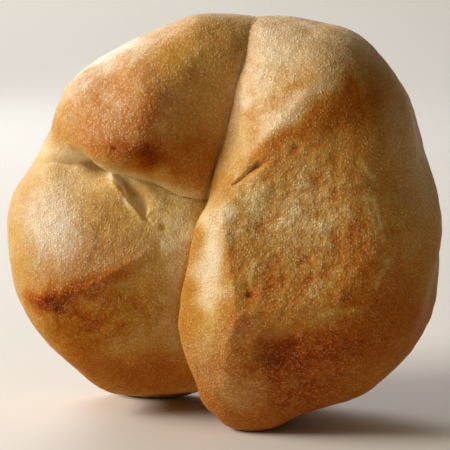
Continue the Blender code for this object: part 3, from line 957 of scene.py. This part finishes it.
# %% Colour and node helpers
def linear(hex_colour):
    """An sRGB hex colour as the linear RGBA that Blender's nodes use."""
    channels = [int(hex_colour[i:i + 2], 16) / 255 for i in (1, 3, 5)]
    return [c / 12.92 if c <= 0.04045 else ((c + 0.055) / 1.055) ** 2.4 for c in channels] + [1]


def add_node(tree, kind, inputs=None, **settings):
    """Add a node with its settings. An input takes a value, or another node's output."""
    new = tree.nodes.new(kind)
    for name, value in settings.items():
        setattr(new, name, value)
    for key, value in (inputs or {}).items():
        if isinstance(value, bpy.types.NodeSocket):
            tree.links.new(value, new.inputs[key])
        else:
            new.inputs[key].default_value = value
    return new


def per_metre(size_mm):
    """The scale that gives a pattern features of that size."""
    return 1 / (size_mm * MILLIMETRE)


print("a 2 mm grain has the scale", per_metre(2.0))

# %% Colours and patterns of the crust
DRY_RAMP = [  # browning, colour
    (0.00, "#F0E4D2"), (0.20, "#E2CAAA"), (0.40, "#CEA070"),
    (0.60, "#BA793C"), (0.80, "#964812"), (1.00, "#5E2204"),
]
# Deep, saturated amber: oiled crust, and partly painted warm light bounced into the shade.
OILED_AND_BOUNCE_RAMP = [
    (0.00, "#E2C880"), (0.18, "#CEA54B"), (0.38, "#B6821E"),
    (0.56, "#AA6006"), (0.76, "#8E3D00"), (1.00, "#541C00"),
]
# Pale flecks: blister skins, and partly painted glints.
BLISTER_AND_GLINT_COLOUR = "#F6E4C8"
MOTTLE_SIZE = 7.0  # sizes in millimetres
GRAIN_SIZE = 1.9
GRIT_SIZE = 0.55  # real grit and blisters are finer: both are drawn coarser,
BLISTER_SIZE = 0.52  # so that they show
BLISTER_RIM, BLISTER_CORE = 0.70, 0.05  # where its dome starts and is full, in cells
BLISTER_RARITY = 2.0  # higher leaves fewer high ones
# How much each pattern adds to the browning. Paler raised grain, pale grit and pale
# blisters are partly painted glints.
MOTTLE_BROWNING = 0.14
GRAIN_BROWNING_AND_GLINTS = -0.46
GRIT_BROWNING_AND_GLINTS = -0.26
BLISTER_AND_GLINT_BROWNING = -0.26
LEVELLING = 0.07  # brings the patterned crust back to its own browning
# What the crust is like at each end of its three numbers.
GRAIN_SMOOTH, GRAIN_WRINKLED = 0.32, 1.15  # strength of the grain
FLECKS_DRY, FLECKS_OILED = 0.38, 0.0  # paleness of the blisters
# More pale flecks on wrinkled crust: painted glints.
PAINTED_GLINTS_WRINKLED = 0.28
ROUGH_DRY, ROUGH_OILED = 0.62, 0.38
FILM_PALE, FILM_BROWN = 0.42, 0.0  # strength of the oil film
FILM_STARTS, FILM_ENDS = 0.48, 0.08  # over these numbers of browning
ROUGH_GRAIN = 0.12
BUMP_GRAIN = 3.0
BUMP_GRIT = 0.6
BUMP_DEPTH = 0.21
print("from", DRY_RAMP[0][1], "to", DRY_RAMP[-1][1], "dry, and", OILED_AND_BOUNCE_RAMP[-1][1], "oiled")


# %% Baked crust
def baked_crust():
    """Enriched dough, browned in the oven and faintly oily: a warm, speckled, satin crust."""
    material = bpy.data.materials.new("baked_crust")
    material.use_nodes = True
    tree = material.node_tree
    shader = tree.nodes["Principled BSDF"]
    place = add_node(tree, "ShaderNodeTexCoord").outputs["Object"]
    brown, oil, coarse = [
        add_node(tree, "ShaderNodeAttribute", attribute_name=name).outputs["Fac"]
        for name in ("browning", "oil", "coarse")]

    # Patterns: broad mottling, grain, grit, and blisters as domes of which few are high.
    mottle, speckle, grit = [
        add_node(tree, "ShaderNodeTexNoise", {
            "Vector": place, "Scale": per_metre(size), "Detail": detail}).outputs["Fac"]
        for size, detail in ((MOTTLE_SIZE, 4.0), (GRAIN_SIZE, 3.0), (GRIT_SIZE, 1.0))]
    cells = add_node(tree, "ShaderNodeTexVoronoi", {
        "Vector": place, "Scale": per_metre(BLISTER_SIZE)}, feature="F1")
    dome = add_node(tree, "ShaderNodeMapRange", {
        "Value": cells.outputs["Distance"], "From Min": BLISTER_RIM,
        "From Max": BLISTER_CORE}).outputs["Result"]
    chance = add_node(tree, "ShaderNodeSeparateColor", {
        "Color": cells.outputs["Color"]}).outputs["Red"]
    rarer = add_node(tree, "ShaderNodeMath", {
        0: chance, 1: BLISTER_RARITY}, operation="POWER").outputs[0]
    blister = add_node(tree, "ShaderNodeMath", {0: dome, 1: rarer}, operation="MULTIPLY").outputs[0]
    grain_share = add_node(tree, "ShaderNodeMapRange", {
        "Value": coarse, "To Min": GRAIN_SMOOTH, "To Max": GRAIN_WRINKLED}).outputs["Result"]
    centred = add_node(tree, "ShaderNodeMath", {
        0: speckle, 1: 0.5}, operation="SUBTRACT").outputs[0]
    grain = add_node(tree, "ShaderNodeMath", {
        0: centred, 1: grain_share}, operation="MULTIPLY").outputs[0]

    # Browning, changed by one pattern after the other. The film of oil lies over the blisters.
    levels = [add_node(tree, "ShaderNodeMath", {
        0: brown, 1: LEVELLING}, operation="ADD").outputs[0]]
    # Paler raised grain, grit and blisters are partly painted glints.
    for pattern, share in ((mottle, MOTTLE_BROWNING), (grain, GRAIN_BROWNING_AND_GLINTS),
                           (grit, GRIT_BROWNING_AND_GLINTS), (blister, BLISTER_AND_GLINT_BROWNING)):
        levels.append(add_node(tree, "ShaderNodeMath", {
            0: pattern, 1: share, 2: levels[-1]}, operation="MULTIPLY_ADD").outputs[0])
    browned, blistered = levels[-2:]

    # Colour: the dry and the oiled ramp, blended, with pale flecks where blisters are,
    # partly blister skins and partly painted glints.
    crusts = []
    for colours in (DRY_RAMP, OILED_AND_BOUNCE_RAMP):
        ramp = add_node(tree, "ShaderNodeValToRGB", {"Fac": blistered})
        for _ in colours[2:]:  # a new ramp has two stops
            ramp.color_ramp.elements.new(0.5)
        for element, (position, colour) in zip(ramp.color_ramp.elements, colours):
            element.position = position
            element.color = linear(colour)
        crusts.append(ramp.outputs["Color"])
    crust = add_node(tree, "ShaderNodeMix", {
        0: oil, 6: crusts[0], 7: crusts[1]}, data_type="RGBA").outputs[2]
    paleness = add_node(tree, "ShaderNodeMapRange", {
        "Value": oil, "To Min": FLECKS_DRY, "To Max": FLECKS_OILED}).outputs["Result"]
    # Wrinkled crust gets more pale flecks, as painted glints.
    paler = add_node(tree, "ShaderNodeMath", {
        0: coarse, 1: PAINTED_GLINTS_WRINKLED, 2: paleness}, operation="MULTIPLY_ADD").outputs[0]
    fleck = add_node(tree, "ShaderNodeMath", {
        0: blister, 1: paler}, operation="MULTIPLY").outputs[0]
    flecked = add_node(tree, "ShaderNodeMix", {
        0: fleck, 6: crust, 7: linear(BLISTER_AND_GLINT_COLOUR)}, data_type="RGBA").outputs[2]

    # Relief too fine for the mesh, roughness, and the film of oil.
    height = blister
    for pattern, share in ((grit, BUMP_GRIT), (grain, BUMP_GRAIN)):
        height = add_node(tree, "ShaderNodeMath", {
            0: pattern, 1: share, 2: height}, operation="MULTIPLY_ADD").outputs[0]
    bump = add_node(tree, "ShaderNodeBump", {
        "Strength": 1.0, "Distance": BUMP_DEPTH * MILLIMETRE, "Height": height}).outputs["Normal"]
    dullness = add_node(tree, "ShaderNodeMapRange", {
        "Value": oil, "To Min": ROUGH_DRY, "To Max": ROUGH_OILED}).outputs["Result"]
    roughness = add_node(tree, "ShaderNodeMath", {
        0: grain, 1: ROUGH_GRAIN, 2: dullness}, operation="MULTIPLY_ADD").outputs[0]
    film = add_node(tree, "ShaderNodeMapRange", {
        "Value": browned, "From Min": FILM_ENDS, "From Max": FILM_STARTS,
        "To Min": FILM_PALE, "To Max": FILM_BROWN}).outputs["Result"]

    for name, output in (("Base Color", flecked), ("Roughness", roughness), ("Normal", bump),
                         ("Coat Weight", film), ("Coat Normal", bump)):
        tree.links.new(output, shader.inputs[name])
    for name, value in (("IOR", 1.45),  # fat and starch
                        ("Specular IOR Level", 0.02),  # porous crust, almost without a mirror
                        ("Coat Roughness", 0.20),
                        ("Subsurface Weight", 0.06),
                        ("Subsurface Radius", (1.0, 0.45, 0.15)),
                        ("Subsurface Scale", 2.5 * MILLIMETRE)):
        shader.inputs[name].default_value = value
    return material


roll_mesh.materials.clear()
roll_mesh.materials.append(baked_crust())
roll_mesh.polygons.foreach_set("material_index", np.zeros(len(roll_mesh.polygons), np.int32))
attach(roll, "root")
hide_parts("roll")
print("nodes in the crust:", len(roll_mesh.materials[0].node_tree.nodes))

# %% [markdown]
# ## A plain studio
#
# A pale floor that curves up behind the roll gives it a clean setting. One broad lamp to the left,
# high and a little in front, rakes over the lobes, so every ridge has a bright and a shaded side.
# A weak one behind lights the rim, and a third one lights the backdrop.

# %% Floor and backdrop
FLOOR_WIDTH = 7.0
FLOOR_FRONT = -3.5
FLOOR_BACK = 1.0
SWEEP_RADIUS = 0.5
SWEEP_STEPS = 16
WALL_TOP = 1.6
TOOTH_SIZE = 1.5  # of the paint, in millimetres
TOOTH_DEPTH = 0.05


def studio_sweep():
    """A floor that curves up into a backdrop, drawn as one profile and stretched sideways."""
    sweep = bmesh.new()
    profile = [(FLOOR_FRONT, 0.0)]
    for i in range(SWEEP_STEPS + 1):
        turn = math.pi / 2 * i / SWEEP_STEPS
        profile.append((FLOOR_BACK + SWEEP_RADIUS * math.sin(turn),
                        SWEEP_RADIUS * (1 - math.cos(turn))))
    profile.append((FLOOR_BACK + SWEEP_RADIUS, WALL_TOP))
    left = [sweep.verts.new((-FLOOR_WIDTH / 2, y, z)) for y, z in profile]
    right_side = [sweep.verts.new((FLOOR_WIDTH / 2, y, z)) for y, z in profile]
    for i in range(len(profile) - 1):
        sweep.faces.new((left[i], right_side[i], right_side[i + 1], left[i + 1]))
    mesh = bpy.data.meshes.new("studio_sweep")
    sweep.to_mesh(mesh)
    sweep.free()
    mesh.shade_smooth()
    backdrop = bpy.data.objects.new("studio_sweep", mesh)
    bpy.context.scene.collection.objects.link(backdrop)
    return backdrop


def painted_board():
    """Matt painted board: pale, even and without shine."""
    material = bpy.data.materials.new("painted_board")
    material.use_nodes = True
    tree = material.node_tree
    shader = tree.nodes["Principled BSDF"]
    place = add_node(tree, "ShaderNodeTexCoord").outputs["Object"]
    tooth = add_node(tree, "ShaderNodeTexNoise", {"Vector": place, "Scale": per_metre(TOOTH_SIZE)})
    bump = add_node(tree, "ShaderNodeBump", {
        "Strength": 0.1, "Distance": TOOTH_DEPTH * MILLIMETRE, "Height": tooth.outputs["Fac"]})
    shader.inputs["Base Color"].default_value = linear("#E4E1DC")
    shader.inputs["Roughness"].default_value = 0.85
    tree.links.new(bump.outputs["Normal"], shader.inputs["Normal"])
    return material


backdrop = studio_sweep()
backdrop.data.materials.append(painted_board())
print("floor and backdrop:", len(backdrop.data.polygons), "faces")

# %% Lights
ROLL_MIDDLE = (Vector(cad_low) + Vector(cad_high)) / 2
WINDOW_SIDE = Vector((-0.80, -0.35, 0.50))
RIM_SIDE = Vector((-0.55, 0.75, 0.55))
LAMP_DISTANCE = 0.9


def add_softbox(name, location, aim, size, power, colour):
    """A square lamp that shines from one point to another."""
    lamp = bpy.data.lights.new(name, "AREA")
    lamp.size = size
    lamp.energy = power
    lamp.color = linear(colour)[:3]
    thing = bpy.data.objects.new(name, lamp)
    thing.location = location
    thing.rotation_euler = (location - aim).to_track_quat("Z", "Y").to_euler()
    bpy.context.scene.collection.objects.link(thing)


add_softbox("window_light", ROLL_MIDDLE + WINDOW_SIDE.normalized() * LAMP_DISTANCE, ROLL_MIDDLE,
            size=0.40, power=9.0, colour="#FFF8EE")
add_softbox("rim_light", ROLL_MIDDLE + RIM_SIDE.normalized() * LAMP_DISTANCE, ROLL_MIDDLE,
            size=0.50, power=2.5, colour="#F2F6FF")
add_softbox("backdrop_light", Vector((-0.5, 1.1, 1.0)), Vector((0.0, 1.1, 0.0)),
            size=0.8, power=7.5, colour="#FFFFFF")

# %% Soft light from all round
ROOM_COLOUR = "#F8E0B8"  # warm, as from a wooden table and walls
ROOM_STRENGTH = 0.125

world = bpy.data.worlds.new("soft_room")
world.use_nodes = True
sky = world.node_tree.nodes["Background"]
sky.inputs["Color"].default_value = linear(ROOM_COLOUR)
sky.inputs["Strength"].default_value = ROOM_STRENGTH
bpy.context.scene.world = world
bpy.context.scene.view_settings.view_transform = "Standard"
print("room light:", ROOM_COLOUR, "at", ROOM_STRENGTH)

# %% [markdown]
# ## The camera
#
# A long lens a little above the roll, turned slightly to its right, keeps the lobes' proportions
# true and lets the roll fill the frame. A wide lens close by would swell the nearest lobe.

# %% Camera
CAMERA_AZIMUTH = 6.0  # in degrees, as the elevation
CAMERA_ELEVATION = 9.0
CAMERA_DISTANCE = 0.42  # in metres
CAMERA_LENS = 140.0  # in millimetres, as the sensor
SENSOR_WIDTH = 36.0
CAMERA_AIM = Vector((0.0013, -0.0004, 0.0488))

camera = bpy.data.objects.new("camera", bpy.data.cameras.new("camera"))
camera.data.lens = CAMERA_LENS
camera.data.sensor_width = SENSOR_WIDTH
camera.data.dof.use_dof = False
around, above = math.radians(CAMERA_AZIMUTH), math.radians(CAMERA_ELEVATION)
back = Vector((math.sin(around) * math.cos(above), -math.cos(around) * math.cos(above),
               math.sin(above)))
camera.location = CAMERA_AIM + back * CAMERA_DISTANCE
camera.rotation_euler = back.to_track_quat("Z", "Y").to_euler()
bpy.context.scene.collection.objects.link(camera)
bpy.context.scene.camera = camera
print("camera at", [round(value, 3) for value in camera.location])
